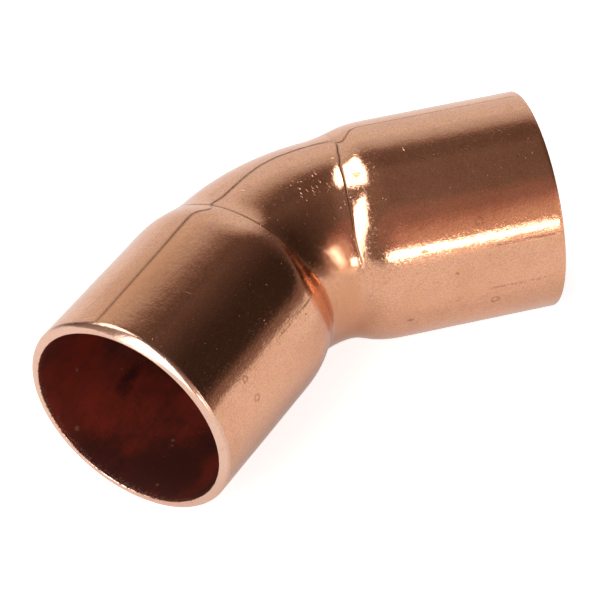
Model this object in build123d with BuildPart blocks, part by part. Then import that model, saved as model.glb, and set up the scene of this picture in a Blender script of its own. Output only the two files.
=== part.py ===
# Forty-five degree copper elbow with a solder cup at each end, drawn and bent from one piece of tube.
# It lies on its side on the XY plane, with both cup axes level, and it is even about the YZ plane.
# The origin is the middle of its footprint. The working point is where the two cup axes meet.

import os
from math import atan2, cos, degrees, radians, sin, sqrt, tan

from build123d import *

# Run of the tube, in millimetres and degrees
bend_angle = 45.0  # turn between the two cup axes
bend_radius = 12.8  # of the neck's centreline, from one cup's shoulder to the other's

# Sections
wall = 0.82  # of the tube, the same in the neck and in the cups
cup_bore = 15.98  # inside diameter of a cup, which takes tube of 15.88 outside
cup_depth = 12.85  # straight bore from the mouth to the shoulder
neck_step = 0.77  # by which the neck's radius is less than the cup's, inside and outside

# Shoulder, which springs steeply from the neck and runs out flush with the cup
shoulder_length = 3.0  # from the crease at the neck to the straight part of the cup
foot_angle = 65.0  # of the shoulder's first rise to the cup axis
foot_radius = 0.7  # of the turn from that rise into the long crown

# Edges
rim_chamfer = 0.25  # outer edge of a mouth
mouth_chamfer = 0.1  # inner edge of a mouth
stop_chamfer = 0.15  # edge of the tube stop

# Radii and distances along a cup axis from the working point
half_bend = bend_angle / 2
half_turn = radians(half_bend)
cup_inside = cup_bore / 2
cup_outside = cup_inside + wall
neck_inside = cup_inside - neck_step
neck_outside = neck_inside + wall
crease = bend_radius * tan(half_turn)
stop = crease + wall
cup_start = crease + shoulder_length
mouth = cup_start + cup_depth

# Shoulder's two arcs: the foot leaves the crease at its angle, and the crown is tangent to it and to the cup
foot_turn = radians(foot_angle)
foot_x = crease + foot_radius * sin(foot_turn)
foot_y = neck_outside - foot_radius * cos(foot_turn)
run = cup_start - foot_x
rise = cup_outside - foot_y
crown_radius = (run**2 + rise**2 - foot_radius**2) / (2 * (rise - foot_radius))
crown_y = cup_outside - crown_radius
crown_sweep = degrees(atan2(run, foot_y - crown_y))

# Inside, the crown keeps the wall's thickness as far as the stop
inner_crown_radius = crown_radius - wall
inner_run = cup_start - stop
inner_sweep = degrees(atan2(inner_run, sqrt(inner_crown_radius**2 - inner_run**2)))

# Reach of the elbow from the working point, towards its outer curve and away from it
back_reach = bend_radius + neck_outside - bend_radius / cos(half_turn)
rim_reach = mouth * sin(half_turn) + (cup_outside - rim_chamfer) * cos(half_turn)
edge_reach = (mouth - rim_chamfer) * sin(half_turn) + cup_outside * cos(half_turn)
front_reach = max(rim_reach, edge_reach)

# Places
axis_height = cup_outside
working_point = Vector(0, (front_reach - back_reach) / 2, axis_height)
bend_centre = working_point - Vector(0, bend_radius / cos(half_turn), 0)
neck_centre = bend_centre + Vector(0, bend_radius, 0)
cup_direction = Vector(cos(half_turn), -sin(half_turn), 0)
cup_axis = Axis(working_point, cup_direction)
bend_axis = Axis(bend_centre, (0, 0, -1))
cup_plane = Plane(working_point, x_dir=cup_direction, z_dir=(0, 0, 1))
neck_plane = Plane(neck_centre, x_dir=(0, 1, 0), z_dir=(1, 0, 0))

with BuildPart() as elbow:
    # Half of the bent neck, from the middle of the bend to one end of it
    with BuildSketch(neck_plane) as neck_ring:
        Circle(neck_outside)
        Circle(neck_inside, mode=Mode.SUBTRACT)
    revolve(axis=bend_axis, revolution_arc=half_bend)

    # Wall of one cup in section, from the crease to the mouth and back along the inside
    with BuildSketch(cup_plane) as cup_wall:
        with BuildLine():
            foot = CenterArc((foot_x, foot_y), foot_radius, 90 + foot_angle, crown_sweep - foot_angle)
            crown = CenterArc((cup_start, crown_y), crown_radius, 90 + crown_sweep, -crown_sweep)
            inner_crown = CenterArc((cup_start, crown_y), inner_crown_radius, 90, inner_sweep)
            Polyline(crown @ 1, (mouth, cup_outside), (mouth, cup_inside), inner_crown @ 0)
            Polyline(inner_crown @ 1, (stop, neck_inside), (crease, neck_inside), foot @ 0)
        make_face()
        for corner, size in (
            ((mouth, cup_outside), rim_chamfer),
            ((mouth, cup_inside), mouth_chamfer),
            ((stop, neck_inside), stop_chamfer),
        ):
            chamfer(cup_wall.vertices().sort_by_distance(corner)[0], size)
    revolve(axis=cup_axis)

    # The other half is the same
    mirror(about=Plane.YZ)

elbow.part.label = "elbow"
os.makedirs("parts", exist_ok=True)
export_step(elbow.part, "parts/elbow.step")
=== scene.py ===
from functools import reduce
from math import asin, cos, pi, radians, sin, sqrt, tan

import bpy
import numpy as np
from mathutils import Matrix, Vector


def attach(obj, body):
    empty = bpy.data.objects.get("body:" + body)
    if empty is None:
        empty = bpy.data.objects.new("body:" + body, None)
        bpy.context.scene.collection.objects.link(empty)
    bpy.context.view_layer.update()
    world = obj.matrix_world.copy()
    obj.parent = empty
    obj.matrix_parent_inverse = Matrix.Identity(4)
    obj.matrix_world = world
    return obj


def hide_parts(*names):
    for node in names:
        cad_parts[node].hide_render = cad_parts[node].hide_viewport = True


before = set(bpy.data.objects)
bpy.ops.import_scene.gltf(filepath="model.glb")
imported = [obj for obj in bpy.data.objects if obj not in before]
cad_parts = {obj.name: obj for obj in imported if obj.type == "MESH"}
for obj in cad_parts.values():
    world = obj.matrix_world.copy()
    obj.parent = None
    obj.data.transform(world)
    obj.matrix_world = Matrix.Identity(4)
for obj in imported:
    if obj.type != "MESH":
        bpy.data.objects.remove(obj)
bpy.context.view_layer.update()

MM = 0.001  # sizes below are in millimetres, and the scene is in metres

# Sizes of the elbow, as the CAD source has them
BEND = radians(45.0)  # turn between the two cup axes
BEND_RADIUS = 12.8  # of the neck's centreline
WALL = 0.82
CUP_BORE = 15.98  # inside diameter of a cup
CUP_DEPTH = 12.85
NECK_STEP = 0.77  # by which the neck's radius is less than the cup's
SHOULDER_LENGTH = 3.0
FOOT_ANGLE = radians(65.0)
FOOT_RADIUS = 0.7
STOP_ROUND = 0.15
RIM_CHAMFER = 0.25

HALF = BEND / 2
CUP_INSIDE = CUP_BORE / 2
CUP_OUTSIDE = CUP_INSIDE + WALL
NECK_INSIDE = CUP_INSIDE - NECK_STEP
NECK_OUTSIDE = NECK_INSIDE + WALL
CREASE = BEND_RADIUS * tan(HALF)
STOP = CREASE + WALL
CUP_START = CREASE + SHOULDER_LENGTH
MOUTH = CUP_START + CUP_DEPTH
NECK_HALF = BEND_RADIUS * HALF  # from the middle of the neck to a crease, along the centreline

# The shoulder's long arc, which is tangent to its short one and to the cup, and the same inside the wall
foot_x = CREASE + FOOT_RADIUS * sin(FOOT_ANGLE)
foot_r = NECK_OUTSIDE - FOOT_RADIUS * cos(FOOT_ANGLE)
run = CUP_START - foot_x
rise = CUP_OUTSIDE - foot_r
CROWN_RADIUS = (run**2 + rise**2 - FOOT_RADIUS**2) / (2 * (rise - FOOT_RADIUS))
CROWN_CENTRE = CUP_OUTSIDE - CROWN_RADIUS
INNER_CROWN_RADIUS = CROWN_RADIUS - WALL
INNER_SWEEP = asin((CUP_START - STOP) / INNER_CROWN_RADIUS)

# Places, in the row frame
back_reach = BEND_RADIUS + NECK_OUTSIDE - BEND_RADIUS / cos(HALF)
front_reach = (MOUTH - RIM_CHAMFER) * sin(HALF) + CUP_OUTSIDE * cos(HALF)
WORKING_POINT = np.array([0.0, (front_reach - back_reach) / 2, CUP_OUTSIDE])
BEND_CENTRE = WORKING_POINT - np.array([0.0, BEND_RADIUS / cos(HALF), 0.0])

# Below, an angle runs round the tube from the outer curve of the bend, over the top, in degrees. A span gives a value
# at some angles and changes smoothly between them. The right cup is the one towards +X.

# Rims
RIM_LENGTH = 0.45  # along the cup, of a mouth's rounded outer edge
RIM_WIDTH = 0.55  # across the wall, of the same
RIM_START = MOUTH - RIM_LENGTH - CREASE  # its distance from the crease
LIP_ROUND = 0.08  # inner edge of a mouth
SHARP_LENGTH = 0.14  # along the cup, of the right mouth's outer edge, which is sharper
SHARP_WIDTH = 0.2  # across the wall, of the same
SHARP_BACK = 0.045  # by which that mouth is set back
BEVEL = 0.36  # by which the left mouth's face falls back outwards, where the cut was dressed
BEVEL_SPAN = ((62, 0.0), (86, 1.0), (110, 1.0), (142, 0.0), (300, 0.0), (422, 0.0))
BEVEL_REACH = 1.2  # length of the outside that draws back with that face
# Painted dark reflection along the left mouth's outer edge, which hides a highlight there, by angle
RIM_SHADE_SPAN = ((40, 0.0), (54, 0.8), (84, 0.7), (120, 0.7), (142, 0.2), (230, 0.0), (400, 0.0))
RIM_SHADE_PLACE = 0.97  # of the dark line of painted reflection on the left mouth's face, as a share of the wall from its inside
RIM_SHADE_WIDTH = 0.10

# Shoulders
CROWN_FOOT = 0.14  # height over the neck at which the shoulder starts
CROWN_SLOPES = ((0.0, 24.0), (0.5, 22.0), (1.1, 17.0), (2.0, 6.5), (3.0, 0.0))  # distance from the crease, degrees
FLARE_LENGTH = 1.5  # of the neck's last stretch, which lifts towards the crease
FLARE_SPAN = ((50, 0.22), (92, 0.22), (106, 0.25), (119, 0.12), (138, 0.0), (230, 0.0), (310, 0.2), (410, 0.22))
SOFTNESS = 0.5  # spread of the fillet that softens the crease on the outer and the inner curve
SOFT_SPAN = (
    (0, 1.0), (52, 1.0), (76, 0.0), (126, 0.0), (152, 1.0),
    (226, 1.0), (250, 0.0), (284, 0.0), (308, 1.0), (360, 1.0),
)
LEFT_SOFTNESS = 0.6  # least share of that fillet at the left crease
PROFILE_REACH = 9.0  # how far the shoulder's profile is worked out each way from the crease
PROFILE_STEP = 0.02
FILLET_REACH = 2.0  # how far the fillet's spread is followed

# Creases, by right and left
CREASE_STRAY = (
    ((48, -0.1), (66, 0.3), (76, 0.4), (88, 0.18), (98, -0.05), (118, -0.15), (140, -0.3), (160, -0.1), (220, -0.15),
     (310, 0.1), (408, -0.1)),
    ((40, -0.3), (70, 0.0), (100, 0.1), (140, 0.05), (180, -0.2), (230, 0.0), (310, 0.1), (400, -0.3)),
)
STRAY_REACH = 1.6  # how far along the tube a crease takes the surface with it
# Painted shade in each crease as a dark line, by angle; the same values set the depth of the crease's groove
CREASE_GROOVE_AND_SHADE = (
    ((48, 0.0), (72, 0.3), (80, 1.0), (110, 0.8), (150, 0.85), (163, 0.0), (230, 0.0), (300, 0.5), (408, 0.0)),
    ((40, 0.0), (62, 0.4), (74, 0.55), (95, 0.45), (112, 0.12), (150, 0.0), (230, 0.0), (300, 0.5), (400, 0.0)),
)
CREASE_SHADE_WIDTH = 0.085
GROOVE_DEPTH = 0.05
GROOVE_WIDTH = 0.07
LEFT_GROOVE = 0.4  # share of the groove's depth at the left crease
CALM = ((0.0, 0.0), (0.4, 1.0))  # share of the flare and the stray, by share of the half neck from its middle

# The line where the forming dies met, and the unevenness of drawn tube
RIDGE_HEIGHT = 0.035
RIDGE_WIDTH = 0.11
RIDGE_FADE = 0.8  # length over which it dies out before a rim
RIDGE_PATH = (  # distance along the centreline from the neck's middle, angle
    (-21.5, 76.0), (-11.5, 74.4), (-8.3, 73.6), (-6.9, 73.2), (-6.3, 75.2), (-5.9, 78.0), (-5.5, 78.0), (-4.8, 74.5),
    (-3.8, 75.6), (-2.6, 74.8), (-1.2, 72.4), (0.2, 69.6), (1.3, 68.4), (4.1, 68.3), (4.7, 70.5), (5.3, 76.5),
    (5.6, 77.0), (6.0, 74.5), (6.6, 70.2), (7.2, 68.4), (21.5, 68.0),
)
RIDGE_DARK = (  # how dark it is, by the same distance
    (-21.5, 0.5), (-12.0, 0.6), (-8.5, 0.85), (-5.9, 0.9), (-5.5, 0.3), (-4.9, 0.9), (4.4, 0.85), (4.9, 0.3),
    (5.4, 1.0), (6.6, 0.8), (7.4, 0.15), (21.5, 0.1),
)
RIDGE_DARK_WIDTH = 0.17
SAG = 0.012  # depth of the unevenness
SAG_SIZE = 7.0
SAG_SIZE_RANGE = 0.7, 1.8  # of the waves' sizes, as shares of SAG_SIZE
SAG_SEED = 4
SAG_WAVES = 10

# The mesh: its columns, with close ones across the die line, and its rows by the stretch of the section
COLUMNS = 240
FINE_STEP = 0.05
FINE_COUNT = 7  # close columns each side of the die line
NECK_ROWS = 44
NECK_CROWDING = 1.6  # power that draws the neck's rows towards the crease
CREASE_ROWS = [0.0, 0.04, 0.08, 0.13, 0.19]  # distances from the crease
FOOT_ROWS = (0.26, 1.6, 15)  # from, to, and how many
CROWN_ROWS = (1.72, 3.0, 9)
CUP_ROWS = 32
RIM_ROWS = 12
FACE_ROWS = 4
LIP_ROWS = 5
BORE_ROWS = 14
INNER_CROWN_ROWS = 6
STOP_ROWS = 4
STOP_EDGE_ROWS = 5
INNER_NECK_ROWS = 9


def arc(centre, radius, start, stop, count):
    """Points of an arc in (x, r), with angles from the radial direction towards the mouth."""
    angles = np.linspace(start, stop, count)
    return [(centre[0] + radius * sin(a), centre[1] + radius * cos(a)) for a in angles]


def spread(start, stop, count):
    return list(np.linspace(start, stop, count))


def between(path, value):
    """Value of a path of (place, value) pairs, in straight lines between them."""
    return np.interp(value, *zip(*path))


def along(path, value, turn=None):
    """Value of a path of (place, value) pairs, smoothly between them. A turn of 360 makes it go round."""
    places, values = map(np.array, zip(*path))
    value = np.asarray(value, float)
    if turn:
        value = places[0] + (value - places[0]) % turn
    k = np.clip(np.searchsorted(places, value, side="right") - 1, 0, len(places) - 2)
    t = np.clip((value - places[k]) / (places[k + 1] - places[k]), 0, 1)
    return values[k] + (values[k + 1] - values[k]) * t * t * (3 - 2 * t)


def bell(distance, width):
    return np.exp(-((distance / width) ** 2))


# Height of the outside over the neck, by distance from the crease, with the crease crisp and softened
GRID = np.arange(-PROFILE_REACH, PROFILE_REACH, PROFILE_STEP)
climb = np.cumsum(np.where(GRID >= 0, np.tan(np.radians(between(CROWN_SLOPES, GRID))), 0.0))
climb *= (NECK_STEP - CROWN_FOOT) / climb[-1]
fillet_places = np.arange(-FILLET_REACH, FILLET_REACH + PROFILE_STEP / 2, PROFILE_STEP)
FILLET = np.exp(-0.5 * (fillet_places / SOFTNESS) ** 2)


def softened(heights):
    return np.convolve(np.pad(heights, len(FILLET) // 2, mode="edge"), FILLET / FILLET.sum(), mode="valid")


FLARE = np.where(GRID < 0, np.clip(1 + GRID / FLARE_LENGTH, 0, 1) ** 2, 0.0)  # of the neck, as a share
CROWN = np.where(GRID < 0, 0.0, NECK_STEP - (climb[-1] - climb))  # of the shoulder
SOFT_FLARE, SOFT_CROWN = softened(FLARE), softened(CROWN)


def half_section():
    """Stations from the middle of the neck's outside, over the shoulder, the rim and the bore, to the middle of its
    inside. Each is (place, radius, kind). The place is a share of the half neck, or a distance from the crease on the
    cup. Where the radius is None, the profile above gives it."""
    mouth = MOUTH - CREASE
    neck_share = [1 - (1 - u) ** NECK_CROWDING for u in spread(0, 1, NECK_ROWS)[:-1]]
    stations = [(share, None, "neck") for share in neck_share]
    outside = CREASE_ROWS + spread(*FOOT_ROWS) + spread(*CROWN_ROWS)
    outside += spread(SHOULDER_LENGTH, RIM_START, CUP_ROWS)[1:]
    stations += [(d, None, "cup") for d in outside]
    for a in spread(0, pi / 2, RIM_ROWS)[1:]:
        stations.append((RIM_START + RIM_LENGTH * sin(a), CUP_OUTSIDE - RIM_WIDTH * (1 - cos(a)), "rim"))
    face = spread(CUP_OUTSIDE - RIM_WIDTH, CUP_INSIDE + LIP_ROUND, FACE_ROWS)[1:]
    stations += [(mouth, r, "rim") for r in face]
    lip = arc((mouth - LIP_ROUND, CUP_INSIDE + LIP_ROUND), LIP_ROUND, pi / 2, pi, LIP_ROWS)[1:]
    stations += [(d, r, "lip") for d, r in lip]
    bore = [(d, CUP_INSIDE) for d in spread(mouth - LIP_ROUND, SHOULDER_LENGTH, BORE_ROWS)[1:]]
    crown = arc((SHOULDER_LENGTH, CROWN_CENTRE), INNER_CROWN_RADIUS, 0, -INNER_SWEEP, INNER_CROWN_ROWS)[1:]
    stop = STOP - CREASE
    step = [(stop, r) for r in spread(crown[-1][1], NECK_INSIDE + STOP_ROUND, STOP_ROWS)[1:]]
    edge = arc((stop - STOP_ROUND, NECK_INSIDE + STOP_ROUND), STOP_ROUND, pi / 2, pi, STOP_EDGE_ROWS)[1:]
    stations += [(d, r, "bore") for d, r in bore + crown + step + edge + [(0.0, NECK_INSIDE)]]
    stations += [(share, NECK_INSIDE, "neck bore") for share in spread(1, 0, INNER_NECK_ROWS)[1:]]
    return stations


def column_angles(s):
    """Angles of the mesh's columns at distance s, in radians, close together where the die line runs."""
    centre = between(RIDGE_PATH, s)
    step = FINE_STEP / CUP_OUTSIDE * 180 / pi
    fine = centre + step * np.arange(-FINE_COUNT, FINE_COUNT + 1)
    coarse = np.linspace(fine[-1], fine[0] + 360, COLUMNS - len(fine) + 2)[1:-1]
    return np.radians(np.concatenate([fine, coarse]))


def unevenness(p):
    """A smooth, shallow unevenness over points p, about -1 to 1, from a few waves in fixed directions."""
    rng = np.random.default_rng(SAG_SEED)
    total = np.zeros(len(p))
    for _ in range(SAG_WAVES):
        direction = rng.normal(size=3)
        direction *= 2 * pi / (SAG_SIZE * rng.uniform(*SAG_SIZE_RANGE) * np.linalg.norm(direction))
        total += np.sin(p @ direction + rng.uniform(0, 2 * pi))
    return np.clip(total / sqrt(SAG_WAVES), -2, 2) / 2


def place(side, d, r, phi):
    """Points at distance d past the crease on the given side, radius r and angle phi, and their distance along the
    centreline from the neck's middle."""
    stretch = BEND_RADIUS + NECK_OUTSIDE * np.cos(phi)
    on_bend = d < 0
    turn = np.where(on_bend, HALF + d / stretch, HALF)
    out = np.stack([side * np.sin(turn), np.cos(turn), np.zeros_like(turn)], 1)
    bent = BEND_CENTRE + BEND_RADIUS * out
    cup = WORKING_POINT + (CREASE + d)[:, None] * np.array([side * cos(HALF), -sin(HALF), 0.0])
    origin = np.where(on_bend[:, None], bent, cup)
    radial = np.cos(phi)[:, None] * out + np.sin(phi)[:, None] * np.array([0.0, 0.0, 1.0])
    s = side * (NECK_HALF + np.where(on_bend, d * BEND_RADIUS / stretch, d))
    return origin + np.asarray(r)[:, None] * radial, s


def outside_row(side, t, on_neck, row_s, degrees, d, off, lower):
    """A row of the outside between the rims: its distances from the crease, its radii and how dark its lines are, with
    the die line's own darkness and painted shade in the crease.
    """
    left = side < 0
    soft = np.maximum(along(SOFT_SPAN, degrees % 360), LEFT_SOFTNESS if left else 0.0)
    flare = along(FLARE_SPAN, degrees, 360)
    crisp_rise = flare * np.interp(d, GRID, FLARE) + np.interp(d, GRID, CROWN)
    soft_rise = flare * np.interp(d, GRID, SOFT_FLARE) + np.interp(d, GRID, SOFT_CROWN)
    calm = along(CALM, t) if on_neck else 1.0  # the two halves of the neck meet evenly in its middle
    rise = calm * ((1 - soft) * crisp_rise + soft * soft_rise)
    crease = along(CREASE_GROOVE_AND_SHADE[left], degrees, 360)
    groove = (LEFT_GROOVE if left else 1.0) * crease * bell(d, GROOVE_WIDTH)
    radius = NECK_OUTSIDE + rise - lower - GROOVE_DEPTH * groove
    die = along(RIDGE_DARK, row_s) * bell(off, RIDGE_DARK_WIDTH)
    # Painted shade along the crease, beside the die line's own darkness
    mark = np.maximum(die, crease * bell(d, CREASE_SHADE_WIDTH))
    d = d + calm * along(CREASE_STRAY[left], degrees, 360) * bell(d, STRAY_REACH)
    if left and not on_neck:
        drawn_back = np.clip((t - RIM_START) / BEVEL_REACH + 1, 0, 1)
        d = d - BEVEL * along(BEVEL_SPAN, degrees, 360) * drawn_back
    return d, radius, mark


def rim_row(side, r, kind, degrees, d, lower):
    """A row of a rim: its distances from the crease, its radii and how dark its lines are, which on the left mouth is a
    painted dark reflection along the outer edge.
    """
    radius = np.full(COLUMNS, r)
    mark = np.zeros(COLUMNS)
    share = np.clip((r - CUP_INSIDE) / WALL, 0, 1)
    if side < 0:
        d = d - BEVEL * along(BEVEL_SPAN, degrees, 360) * share
        # Painted dark reflection along the left mouth's outer edge
        mark = along(RIM_SHADE_SPAN, degrees, 360) * bell(share - RIM_SHADE_PLACE, RIM_SHADE_WIDTH)
    else:
        mouth = MOUTH - CREASE
        sharpened = ((CUP_INSIDE, CUP_INSIDE), (CUP_OUTSIDE - RIM_WIDTH, CUP_OUTSIDE - SHARP_WIDTH),
                     (CUP_OUTSIDE, CUP_OUTSIDE))
        radius = between(sharpened, radius)
        if kind == "rim":
            d = mouth - (mouth - d) * SHARP_LENGTH / RIM_LENGTH
        d = d - SHARP_BACK
    return d, radius - lower * share, mark


def build_elbow():
    half = half_section()
    loop = [(1, station) for station in half] + [(-1, station) for station in half[-2:0:-1]]
    points, drawn, inside, rim, line = [], [], [], [], []
    for side, (t, r, kind) in loop:
        on_neck = kind.startswith("neck")
        row_s = side * (t * NECK_HALF if on_neck else NECK_HALF + t)
        phi = column_angles(row_s)
        degrees = np.degrees(phi)
        d = np.full(COLUMNS, t)
        if on_neck:
            d = -(1 - t) * HALF * (BEND_RADIUS + NECK_OUTSIDE * np.cos(phi))
        off = (degrees - between(RIDGE_PATH, row_s)) * pi / 180 * CUP_OUTSIDE
        off = np.where(off > pi * CUP_OUTSIDE, off - 2 * pi * CUP_OUTSIDE, off)
        straight = np.stack([CUP_OUTSIDE * np.cos(phi), CUP_OUTSIDE * np.sin(phi), np.full(COLUMNS, row_s)], 1)
        ridge = 1.0 if on_neck else np.clip((RIM_START - t) / RIDGE_FADE, 0, 1)
        lower = RIDGE_HEIGHT * (1 - ridge * bell(off, RIDGE_WIDTH))
        lower += SAG * (1 + unevenness(straight))
        if r is None:
            d, radius, mark = outside_row(side, t, on_neck, row_s, degrees, d, off, lower)
        elif kind in ("rim", "lip"):
            d, radius, mark = rim_row(side, r, kind, degrees, d, lower)
        else:
            radius, mark = np.full(COLUMNS, r), np.zeros(COLUMNS)
        where, s = place(side, d, radius, phi)
        points.append(where)
        drawn.append(np.stack([radius * np.cos(phi), radius * np.sin(phi), s], 1))
        inside += [1.0 if "bore" in kind else (0.5 if kind == "lip" else 0.0)] * COLUMNS
        rim += [1.0 if kind in ("rim", "lip") else 0.0] * COLUMNS
        line.append(mark)
    points = np.concatenate(points) * MM
    faces = []
    for i in range(len(loop)):
        a, b = i * COLUMNS, (i + 1) % len(loop) * COLUMNS
        for j in range(COLUMNS):
            k = (j + 1) % COLUMNS
            faces.append((a + j, a + k, b + k, b + j))
    mesh = bpy.data.meshes.new("elbow_copper")
    mesh.from_pydata(points.tolist(), [], faces)
    mesh.validate()
    if signed_volume(points, faces) < 0:
        mesh.flip_normals()
    mesh.shade_smooth()
    drawn = np.concatenate(drawn).astype(np.float32)
    mesh.attributes.new("drawn", "FLOAT_VECTOR", "POINT").data.foreach_set("vector", drawn.ravel())
    for name, values in (("inside", inside), ("rim", rim), ("line", np.concatenate(line))):
        mesh.attributes.new(name, "FLOAT", "POINT").data.foreach_set("value", np.array(values, np.float32))
    elbow = bpy.data.objects.new("elbow_copper", mesh)
    bpy.context.scene.collection.objects.link(elbow)
    return elbow


def signed_volume(points, faces):
    f = np.array(faces)
    total = 0.0
    for tri in (f[:, [0, 1, 2]], f[:, [0, 2, 3]]):
        p = points[tri]
        total += np.einsum("ij,ij->i", p[:, 0], np.cross(p[:, 1], p[:, 2])).sum()
    return total


class Nodes:
    """Makes nodes and links them, so that a tree reads as a formula."""

    def __init__(self, tree):
        self.tree = tree
        tree.nodes.clear()

    def add(self, kind, inputs=(), **settings):
        node = self.tree.nodes.new(kind)
        for name, value in settings.items():
            setattr(node, name, value)
        for key, value in dict(inputs).items():
            self.put(node.inputs[key], value)
        return node

    def put(self, socket, value):
        if isinstance(value, bpy.types.NodeSocket):
            self.tree.links.new(value, socket)
        elif isinstance(value, bpy.types.Node):
            self.tree.links.new(value.outputs[0], socket)
        else:
            socket.default_value = value

    def math(self, operation, *values):
        return self.add("ShaderNodeMath", enumerate(values), operation=operation).outputs[0]

    def plus(self, a, b):
        return self.math("ADD", a, b)

    def minus(self, a, b):
        return self.math("SUBTRACT", a, b)

    def times(self, a, b):
        return self.math("MULTIPLY", a, b)

    def most(self, a, b):
        return self.math("MAXIMUM", a, b)

    def vector(self, operation, *values):
        places = (0, 3) if operation == "SCALE" else (0, 1)
        node = self.add("ShaderNodeVectorMath", zip(places, values), operation=operation)
        return node.outputs["Value" if operation in ("DOT_PRODUCT", "LENGTH") else "Vector"]

    def noise(self, coordinate, scale, detail=2.0, roughness=0.5, squeeze=None):
        if squeeze:
            coordinate = self.vector("MULTIPLY", coordinate, squeeze)
        inputs = {"Vector": coordinate, "Scale": scale, "Detail": detail, "Roughness": roughness}
        return self.add("ShaderNodeTexNoise", inputs).outputs[0]

    def step(self, value, low, high, to_low=0.0, to_high=1.0):
        inputs = {"Value": value, "From Min": low, "From Max": high, "To Min": to_low, "To Max": to_high}
        return self.add("ShaderNodeMapRange", inputs, interpolation_type="SMOOTHSTEP").outputs[0]

    def ramp(self, value, low, high, to_low=0.0, to_high=1.0):
        inputs = {"Value": value, "From Min": low, "From Max": high, "To Min": to_low, "To Max": to_high}
        return self.add("ShaderNodeMapRange", inputs, clamp=True).outputs[0]

    def mix(self, share, a, b):
        """Mix of two colours."""
        node = self.add("ShaderNodeMix", data_type="RGBA")
        for key, value in ((0, share), (6, a), (7, b)):
            self.put(node.inputs[key], value)
        return node.outputs[2]

    def blend(self, share, a, b):
        """Mix of two numbers."""
        node = self.add("ShaderNodeMix", data_type="FLOAT")
        for key, value in ((0, share), (2, a), (3, b)):
            self.put(node.inputs[key], value)
        return node.outputs[0]


# Colours of the copper outside
FRESH = (0.82, 0.445, 0.295, 1)
HANDLED = (0.75, 0.39, 0.25, 1)
YELLOWED = (0.76, 0.43, 0.235, 1)
REDDENED = (0.66, 0.32, 0.21, 1)
SPECKLED = (0.50, 0.235, 0.12, 1)
# Of tarnish, and of painted shade on the underside and in the neck's inner curve
TARNISH_AND_SHADE = (0.59, 0.265, 0.13, 1)
CUT = (0.92, 0.66, 0.55, 1)  # of the left rim
STAINED = (0.50, 0.22, 0.13, 1)
# Of marks, and of the painted shade that dims highlights on the neck
MARKS_AND_SHADE = (0.30, 0.12, 0.065, 1)
# Of the dark lines: the die line, painted shade in the creases and painted dark reflection on the left mouth's edge
LINE_DARK_AND_SHADE = (0.10, 0.034, 0.017, 1)
DUSTY = (0.33, 0.18, 0.10, 1)
# Colours of the oxide inside
OXIDE_DARK = (0.090, 0.023, 0.017, 1)
OXIDE_RED = (0.34, 0.044, 0.023, 1)
SOOTY = (0.024, 0.009, 0.008, 1)
FLECKED = (0.45, 0.22, 0.16, 1)

# How rough each surface is, and how metallic
ROUGH_DRAWN = 0.075
ROUGH_STREAKS = 0.12
ROUGH_STAINS = 0.25
ROUGH_GRAIN = 0.26
ROUGH_DARK_MARKS = 0.5
ROUGH_RIM = 0.2
ROUGH_OXIDE = 0.42
METAL_OXIDE = 0.55
METAL_DUST = 0.3

# Small dents, each as (width, length, spacing, share of places that have one, turn from the tube's length)
PITS = (0.24, 0.30, 1.4, 0.35, 0.0)
NICKS = ((0.07, 0.6, 0.8, 0.30, 25.0), (0.06, 0.9, 0.9, 0.25, 78.0), (0.06, 0.6, 0.8, 0.25, -42.0))
KNOCKS = (0.15, 0.62, 0.52, 0.8, 72.0)
# Scratches along the tube, each as (angle, from, to)
SCRATCHES = ((152.0, -12.0, -6.3), (157.4, 14.3, 21.0))
FAINT_SCRATCH = (182.8, 14.3, 20.5)

SPOT_RAGGED = 1.6  # how much the grain moves a mark's edge, as a share of its radius
RING_HOLE = 0.62  # of a ring, as a share of its radius
# Single marks, each as (distance along the centreline, angle, radius, length as a share of its width)
DARK_SPOT = (5.75, 106.0, 0.62)
FAINT_RING = (-3.55, 119.7, 0.38)
# The last four small spots, on the neck by the right crease, are painted shade that dims highlights there
SMALL_SPOTS = (
    (-16.0, 145.8, 0.2, 3.0), (9.7, 153.3, 0.2, 2.0), (8.3, 195.3, 0.25, 1.5), (12.1, 168.8, 0.2, 1.0),
    (-21.2, 187.5, 0.3, 1.0), (5.3, 168.0, 0.5, 1.0), (5.2, 181.0, 0.45, 1.0), (3.6, 151.0, 0.35, 1.0),
    (4.9, 157.0, 0.5, 1.0),
)
RINGS = ((-17.0, 149.2, 0.36), (-16.4, 153.0, 0.36), (-16.1, 165.8, 0.40), (14.3, 143.8, 0.42), (15.1, 192.0, 0.45))
KNOCKED = (1.0, 104.0, 1.9, 1.3)
TARNISH_PATCH = (-14.5, 78.0, 2.9, 4.0)
RED_PATCH = (-16.6, 299.0, 4.5, 1.0)
DARK_PATCH = (-16.0, 238.0, 7.0, 1.5)
SOOT_STREAK = (-12.8, 317.5, 0.8, 3.4)
INNER_FLECKS = (
    (-16.7, 344.6, 0.20), (-19.6, 320.0, 0.27), (-15.0, 274.4, 0.18), (-15.5, 272.5, 0.14), (-19.5, 263.4, 0.15),
)

# Depths of the surface's relief, in millimetres
GRAIN_DEPTH = 0.008
PEEL_DEPTH = 0.013
STREAK_DEPTH = 0.0025
PIT_DEPTH = 0.016
NICK_DEPTH = 0.006
KNOCK_DEPTH = 0.022


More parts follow.
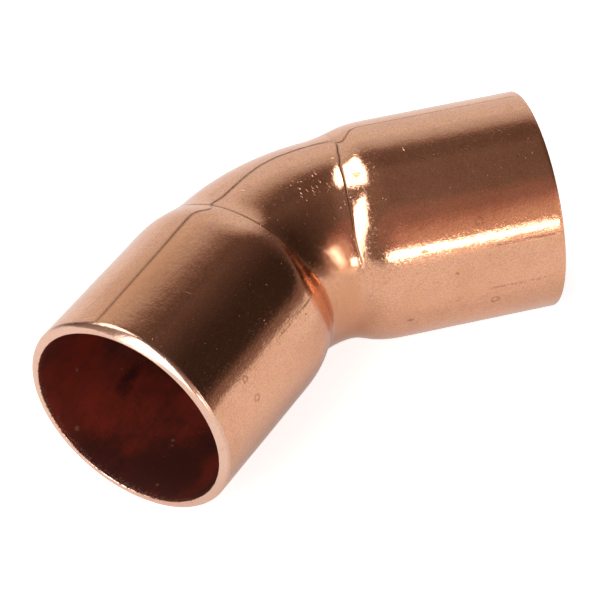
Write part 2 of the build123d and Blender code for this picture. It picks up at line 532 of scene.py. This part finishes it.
def copper_material():
    material = bpy.data.materials.new("copper")
    material.use_nodes = True
    n = Nodes(material.node_tree)
    # The tube drawn out straight, in millimetres, with its axis along Z
    drawn = n.add("ShaderNodeAttribute", attribute_name="drawn").outputs["Vector"]
    rim = n.add("ShaderNodeAttribute", attribute_name="rim").outputs["Fac"]
    inside = n.add("ShaderNodeAttribute", attribute_name="inside").outputs["Fac"]
    line = n.add("ShaderNodeAttribute", attribute_name="line").outputs["Fac"]
    parts = n.add("ShaderNodeSeparateXYZ", {0: drawn}).outputs
    along_tube = parts[2]
    from_middle = n.math("ABSOLUTE", along_tube)
    # The surface unrolled: arc round the tube from its top, and distance along it
    turn = n.math("ARCTAN2", n.times(parts[0], -1.0), parts[1])
    angle = n.plus(n.math("DEGREES", turn), 90.0)
    flat = n.add("ShaderNodeCombineXYZ", {0: n.times(turn, CUP_OUTSIDE), 1: along_tube}).outputs[0]

    grain = n.noise(drawn, 4.5, detail=3.0, roughness=0.7)
    speckle = n.noise(drawn, 8.0, roughness=0.75)
    peel = n.noise(drawn, 0.9)
    streaks = n.noise(drawn, 4.0, detail=3.0, roughness=0.6, squeeze=(1.0, 1.0, 0.05))
    patches = n.noise(drawn, 0.3, detail=3.0, roughness=0.55)
    mottle = n.noise(drawn, 1.7, detail=4.0, roughness=0.7)
    ragged = n.minus(grain, 0.5)

    # Where the surface is worn: in patches, and round the shoulders
    shoulder = n.times(n.step(from_middle, 1.6, 4.4), n.step(from_middle, 6.0, 8.0, 1.0, 0.0))
    worn = n.most(n.step(n.noise(drawn, 0.45, roughness=0.6), 0.52, 0.78), n.times(shoulder, 0.8))

    def dents(across, length, spacing, share, turned, where=worn):
        """Small dents at random places, 1 in the middle of each and 0 outside it. They are as wide and as long as told,
        and turned from the tube's length. Each square of the given spacing has one, thinned to a share of them times
        where."""
        aspect = sqrt(length / across)
        size = sqrt(length * across) / spacing
        way = n.add("ShaderNodeVectorRotate", {"Vector": flat, "Angle": radians(turned)}, rotation_type="Z_AXIS")
        way = n.vector("MULTIPLY", way.outputs[0], (aspect / spacing, 1 / aspect / spacing, 0.0))
        cells = n.add("ShaderNodeTexVoronoi", {"Vector": way, "Scale": 1.0}, voronoi_dimensions="2D").outputs
        chance = n.add("ShaderNodeSeparateColor", {0: cells["Color"]}).outputs
        reach = n.ramp(chance[1], 0.0, 1.0, 0.2 * size, 0.5 * size)
        reach = n.times(reach, n.math("LESS_THAN", chance[0], n.times(where, share)))
        return n.step(cells["Distance"], 0.0, n.most(reach, 0.0001), 1.0, 0.0)

    def spot(s, phi, radius, length=1.0, edge=0.55, values=(0.0, 1.0), at=CUP_OUTSIDE):
        """A ragged spot of the given radius at distance s and angle phi, longer along the tube by length. It takes the
        second value within a share edge of its radius, and the first outside it."""
        centre = (at * cos(radians(phi)), at * sin(radians(phi)), s)
        off = n.vector("MULTIPLY", n.vector("SUBTRACT", drawn, centre), (1.0, 1.0, 1.0 / length))
        off = n.plus(n.vector("LENGTH", off), n.times(ragged, radius * SPOT_RAGGED))
        return n.step(off, radius * edge, radius, values[1], values[0])

    def ring(s, phi, radius):
        return n.times(spot(s, phi, radius), spot(s, phi, radius * RING_HOLE, edge=0.6, values=(1.0, 0.0)))

    def scratch(centre, low, high):
        """A faint, broken scratch along the tube at one angle, between two distances."""
        wander = n.times(n.minus(n.noise(drawn, 0.12, detail=1.0), 0.5), 2.5)
        broken = n.step(n.most(grain, streaks), 0.46, 0.58)
        off = n.math("ABSOLUTE", n.minus(n.plus(angle, wander), centre))
        stretch = n.times(n.step(along_tube, low, low + 1.0), n.step(along_tube, high - 1.0, high, 1.0, 0.0))
        return n.times(n.step(off, 0.3, 1.2, 1.0, 0.0), n.times(stretch, broken))

    pits = dents(*PITS)
    nicks = reduce(n.most, [dents(*values) for values in NICKS])
    # A knock on the neck left a group of short marks
    knocks = dents(*KNOCKS, where=spot(*KNOCKED, edge=0.4))
    # Real spots and rings, and painted shade from the last small spots, which dims highlights on the neck
    spots_and_shade = n.most(spot(*DARK_SPOT), n.times(ring(*FAINT_RING), 0.3))
    for mark in SMALL_SPOTS:
        spots_and_shade = n.most(spots_and_shade, n.times(spot(*mark), 0.7))
    for mark in RINGS:
        spots_and_shade = n.most(spots_and_shade, n.times(ring(*mark), 0.8))
    scratches = reduce(n.most, [scratch(*values) for values in SCRATCHES])
    scratches = n.most(scratches, n.times(scratch(*FAINT_SCRATCH), 0.5))

    # Colour of the outside
    clean = n.mix(n.step(patches, 0.35, 0.7), FRESH, HANDLED)
    clean = n.mix(n.step(mottle, 0.44, 0.62, 0.0, 0.6), clean, YELLOWED)
    clean = n.mix(n.step(mottle, 0.28, 0.44, 0.55, 0.0), clean, REDDENED)
    clean = n.mix(n.step(speckle, 0.36, 0.58, 0.45, 0.0), clean, SPECKLED)
    # A tarnish patch by the left mouth, and painted shade on the neck's inner curve and on the underside of the left
    # cup and the neck
    tarnish = n.times(spot(*TARNISH_PATCH, edge=0.2), 0.7)
    from_inner_curve = n.math("ABSOLUTE", n.minus(angle, 192.0))
    inner_curve_shade = n.times(n.step(from_middle, 2.0, 5.6, 0.45, 0.0), n.step(from_inner_curve, 24.0, 48.0, 1.0, 0.0))
    underside_shade = n.times(n.step(angle, 180.0, 202.0, 0.0, 0.75), n.step(along_tube, 3.0, 6.0, 1.0, 0.0))
    clean = n.mix(n.most(underside_shade, n.most(tarnish, inner_curve_shade)), clean, TARNISH_AND_SHADE)
    left_rim = n.times(rim, n.math("LESS_THAN", along_tube, 0.0))
    clean = n.mix(n.times(left_rim, 0.55), clean, CUT)
    stained = n.step(n.noise(drawn, 1.3, detail=4.0, roughness=0.7), 0.58, 0.74)
    clean = n.mix(n.times(stained, 0.4), clean, STAINED)
    marks = n.most(n.times(pits, 0.5), n.times(scratches, 0.85))
    clean = n.mix(n.most(marks, n.times(spots_and_shade, 0.8)), clean, MARKS_AND_SHADE)
    # Dark lines: the die line's own darkness, painted shade in the creases and a painted dark reflection on the left
    # mouth's outer edge
    lines_and_shade = n.times(line, n.step(grain, 0.3, 0.6, 0.6, 1.0))
    clean = n.mix(lines_and_shade, clean, LINE_DARK_AND_SHADE)
    dust = n.step(n.noise(drawn, 4.2, detail=3.0, roughness=0.7), 0.69, 0.75)
    clean = n.mix(n.times(dust, 0.75), clean, DUSTY)

    # Colour of the inside
    cloud = n.noise(drawn, 0.2, detail=3.0, roughness=0.55, squeeze=(1.0, 1.0, 0.6))
    cloud = n.plus(cloud, n.times(spot(*RED_PATCH, edge=0.1, at=CUP_INSIDE), 0.14))
    cloud = n.minus(cloud, n.times(spot(*DARK_PATCH, edge=0.1, at=CUP_INSIDE), 0.16))
    cloud = n.plus(cloud, n.times(n.minus(streaks, 0.5), 0.10))
    cloud = n.plus(cloud, n.times(n.minus(mottle, 0.5), 0.22))
    oxide = n.mix(n.step(cloud, 0.32, 0.70), OXIDE_DARK, OXIDE_RED)
    soot = n.step(n.noise(drawn, 0.5, detail=3.0, roughness=0.6, squeeze=(1.0, 1.0, 0.4)), 0.58, 0.74)
    soot = n.most(n.times(soot, 0.45), n.times(spot(*SOOT_STREAK, edge=0.1, at=CUP_INSIDE), 0.8))
    oxide = n.mix(soot, oxide, SOOTY)
    flecks = n.step(n.noise(drawn, 2.2, roughness=0.6), 0.72, 0.78)
    for mark in INNER_FLECKS:
        flecks = n.most(flecks, spot(*mark, at=CUP_INSIDE))
    oxide = n.mix(n.times(flecks, 0.5), oxide, FLECKED)
    deep = n.step(n.plus(inside, n.times(ragged, 1.2)), 0.45, 0.6)
    colour = n.mix(deep, clean, oxide)

    rough = n.blend(n.step(streaks, 0.3, 0.7), ROUGH_DRAWN, ROUGH_STREAKS)
    rough = n.blend(n.times(stained, 0.5), rough, ROUGH_STAINS)
    rough = n.blend(n.step(grain, 0.52, 0.66, 0.0, 0.8), rough, ROUGH_GRAIN)
    rough = n.blend(n.most(lines_and_shade, n.times(spots_and_shade, 0.6)), rough, ROUGH_DARK_MARKS)
    rough = n.blend(rim, rough, ROUGH_RIM)
    rough = n.blend(n.most(deep, dust), rough, ROUGH_OXIDE)
    metal = n.blend(deep, n.step(dust, 0.0, 1.0, 1.0, METAL_DUST), METAL_OXIDE)

    height = n.times(grain, GRAIN_DEPTH)
    height = n.plus(height, n.times(peel, PEEL_DEPTH))
    height = n.plus(height, n.times(streaks, STREAK_DEPTH))
    hollows = n.plus(n.times(pits, PIT_DEPTH), n.times(nicks, NICK_DEPTH))
    hollows = n.plus(hollows, n.times(knocks, KNOCK_DEPTH))
    normal = n.add("ShaderNodeBump", {"Height": n.minus(height, hollows), "Distance": MM, "Strength": 1.0})

    inputs = {"Base Color": colour, "Roughness": rough, "Normal": normal, "Metallic": metal}
    n.add("ShaderNodeOutputMaterial", {"Surface": n.add("ShaderNodeBsdfPrincipled", inputs)})
    return material


# The studio that the copper mirrors. A direction is (azimuth, elevation) in degrees, with the azimuth from +Y towards
# +X. A wedge is (azimuth, half angle, softness). A pair of levels or heights is (elsewhere, there).
WHITE = (1, 1, 1, 1)
DIM_TINT = (1.0, 0.70, 0.60, 1)

# The room: pale near the horizon and dim overhead, dimmest on one side
ROOM_LEVELS = (0.9, 0.27)  # at the horizon and overhead
HORIZON_SOFT = 0.12
DIM_SIDE = (112, 28)
DIM_SIDE_HORIZONS = (0.04, 0.13)
DIM_SIDE_LEVELS = (0.95, 0.17)
DIM_SPOT = (45, 58)
DIM_SPOT_LEVELS = (1.0, 0.70)
SWEEP = (22, 38, 14)  # the pale sheet behind the object
SWEEP_LEVELS = (0.86, 0.64)  # low and high on it
SWEEP_TOP_LEVELS = (1.0, 0.22)

# The lights: a large one at the left and one overhead, and a low strip and a slim bar at the front
KEY = (-108, 18, 4)
KEY_POWER = 6.0
TOP = (-19, 26, 3)
TOP_POWER = 6.0
BEYOND = (127, 15)  # square to the straight edge at which both of them end
STRIP = (196.3, 11.7)
STRIP_AXIS = Vector((1, 0, 0))
STRIP_SIZE = (0.19, 0.053, 0.02)  # tangents of its half length, half width and softness
STRIP_POWER = 8.0
BAR = (160, 19)
BAR_ENDS = (154, 31), (166, 7)
BAR_SIZE = (0.2, 0.025, 0.01)
BAR_POWER = 9.0

# The warm glow round the front lights, and something brick red behind it
GLOW = (172, 13)
GLOW_POWER = 0.5
GLOW_EDGE = (1.0, 0.52, 0.42, 1)
GLOW_MIDDLE = (1.0, 0.80, 0.62, 1)
BRICK = (184, 30)
BRICK_ANGLES = (28, 27)  # from its middle: where it begins, and where it is whole
BRICK_POWER = 0.085
BRICK_RED = (1.0, 0.30, 0.24)


def heading(azimuth, elevation):
    """Direction as a vector."""
    a, e = radians(azimuth), radians(elevation)
    return Vector((sin(a) * cos(e), cos(a) * cos(e), sin(e)))


def studio():
    world = bpy.data.worlds.new("studio")
    bpy.context.scene.world = world
    world.use_nodes = True
    n = Nodes(world.node_tree)
    way = n.add("ShaderNodeTexCoord").outputs["Generated"]
    height = n.add("ShaderNodeSeparateXYZ", {0: way}).outputs[2]
    level = n.vector("NORMALIZE", n.vector("MULTIPLY", way, (1, 1, 0)))

    def towards(azimuth, elevation):
        """Cosine of the angle from a direction."""
        return n.vector("DOT_PRODUCT", way, tuple(heading(azimuth, elevation)))

    def wedge(azimuth, half_angle, soft):
        """1 within half_angle of an azimuth, 0 outside it."""
        cosine = n.vector("DOT_PRODUCT", level, tuple(heading(azimuth, 0)))
        return n.step(cosine, cos(radians(half_angle + soft)), cos(radians(half_angle - soft)))

    def panel(centre, axis, half_length, half_width, soft):
        """1 on a rectangle far away, 0 outside it. The axis is a direction along it."""
        ahead = centre.normalized()
        length = (axis - axis.dot(ahead) * ahead).normalized()
        width = ahead.cross(length)
        depth = n.most(n.vector("DOT_PRODUCT", way, tuple(ahead)), 0.001)
        x = n.math("ABSOLUTE", n.math("DIVIDE", n.vector("DOT_PRODUCT", way, tuple(length)), depth))
        y = n.math("ABSOLUTE", n.math("DIVIDE", n.vector("DOT_PRODUCT", way, tuple(width)), depth))
        return n.times(n.step(x, half_length - soft, half_length + soft, 1.0, 0.0),
                       n.step(y, half_width - soft, half_width + soft, 1.0, 0.0))

    side = towards(*DIM_SIDE)
    horizon = n.ramp(side, 0.6, 0.9, *DIM_SIDE_HORIZONS)
    base = n.step(height, horizon, n.plus(horizon, HORIZON_SOFT), *ROOM_LEVELS)
    base = n.times(base, n.ramp(side, 0.55, 0.98, *DIM_SIDE_LEVELS))
    base = n.times(base, n.step(towards(*DIM_SPOT), 0.955, 0.995, *DIM_SPOT_LEVELS))
    sweep = n.times(n.ramp(height, 0.45, 0.60, *SWEEP_LEVELS), n.step(height, 0.61, 0.825, *SWEEP_TOP_LEVELS))
    base = n.most(base, n.times(sweep, wedge(*SWEEP)))
    base = n.vector("SCALE", n.mix(n.step(base, 0.1, 0.8), DIM_TINT, WHITE), base)

    beyond = towards(*BEYOND)
    key = n.times(wedge(*KEY), n.step(height, 0.0, 0.1, 0.0, KEY_POWER))
    key = n.times(key, n.step(beyond, -0.03, 0.03, 1.0, 0.0))
    top = n.times(wedge(*TOP), n.step(height, 0.68, 0.74, 0.0, TOP_POWER))
    top = n.times(top, n.step(beyond, 0.05, 0.11, 1.0, 0.0))
    strip = n.times(panel(heading(*STRIP), STRIP_AXIS, *STRIP_SIZE), STRIP_POWER)
    bar_axis = heading(*BAR_ENDS[0]) - heading(*BAR_ENDS[1])
    bar = n.times(panel(heading(*BAR), bar_axis, *BAR_SIZE), BAR_POWER)
    glow = n.step(towards(*GLOW), 0.82, 0.985, 0.0, GLOW_POWER)
    glow = n.vector("SCALE", n.mix(n.step(glow, 0.1, 0.45), GLOW_EDGE, GLOW_MIDDLE), glow)
    begins, whole = (cos(radians(a)) for a in BRICK_ANGLES)
    brick = n.step(towards(*BRICK), begins, whole, 0.0, BRICK_POWER)
    glow = n.vector("ADD", glow, n.vector("SCALE", BRICK_RED, brick))
    lamps = n.plus(n.plus(key, top), n.plus(strip, bar))
    light = n.vector("ADD", n.vector("ADD", base, lamps), glow)
    # The camera sees plain white
    shown = n.add("ShaderNodeLightPath").outputs["Is Camera Ray"]
    background = n.add("ShaderNodeBackground", {"Color": n.mix(shown, light, WHITE), "Strength": 1.0})
    n.add("ShaderNodeOutputWorld", {"Surface": background})


# A translucent table lit from below, which the camera sees almost burnt out
FLOOR_RADIUS = 2.0  # in metres
FLOOR_SIDES = 64
FLOOR_GREY = (0.56, 0.56, 0.56, 1)
FLOOR_LIGHT = 0.30
FLOOR_LIGHT_SEEN = 0.8  # by the camera
FLOOR_ROUGHNESS = 0.8


def floor():
    mesh = bpy.data.meshes.new("floor")
    turns = [2 * pi * k / FLOOR_SIDES for k in range(FLOOR_SIDES)]
    rim = [(FLOOR_RADIUS * cos(a), FLOOR_RADIUS * sin(a), 0.0) for a in turns]
    mesh.from_pydata(rim, [], [tuple(range(FLOOR_SIDES))])
    obj = bpy.data.objects.new("floor", mesh)
    bpy.context.scene.collection.objects.link(obj)
    material = bpy.data.materials.new("floor")
    material.use_nodes = True
    n = Nodes(material.node_tree)
    shown = n.add("ShaderNodeLightPath").outputs["Is Camera Ray"]
    inputs = {
        "Base Color": FLOOR_GREY, "Roughness": FLOOR_ROUGHNESS, "Specular IOR Level": 0.0,
        "Emission Color": WHITE, "Emission Strength": n.blend(shown, FLOOR_LIGHT, FLOOR_LIGHT_SEEN),
    }
    n.add("ShaderNodeOutputMaterial", {"Surface": n.add("ShaderNodeBsdfPrincipled", inputs)})
    mesh.materials.append(material)


# The photo's camera: its place in millimetres, its own axes, and its lens for a sensor 36 mm wide
CAMERA_PLACE = Vector((-77.19, -113.25, 134.76))
CAMERA_RIGHT = Vector((0.803201, -0.593737, -0.048427))
CAMERA_UP = Vector((0.434597, 0.528434, 0.729303))
CAMERA_BACK = Vector((-0.407424, -0.606823, 0.682475))
LENS = 143.32
SENSOR = 36.0
CLIP = 0.01, 20.0  # in metres


def camera():
    data = bpy.data.cameras.new("camera")
    data.lens = LENS
    data.sensor_width = SENSOR
    data.clip_start, data.clip_end = CLIP
    obj = bpy.data.objects.new("camera", data)
    turn = Matrix((CAMERA_RIGHT, CAMERA_UP, CAMERA_BACK)).transposed().to_4x4()
    obj.matrix_world = Matrix.Translation(CAMERA_PLACE * MM) @ turn
    bpy.context.scene.collection.objects.link(obj)
    bpy.context.scene.camera = obj


elbow = build_elbow()
elbow.data.materials.append(copper_material())
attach(elbow, "root")
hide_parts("elbow")
studio()
floor()
camera()
bpy.context.scene.view_settings.view_transform = "Standard"
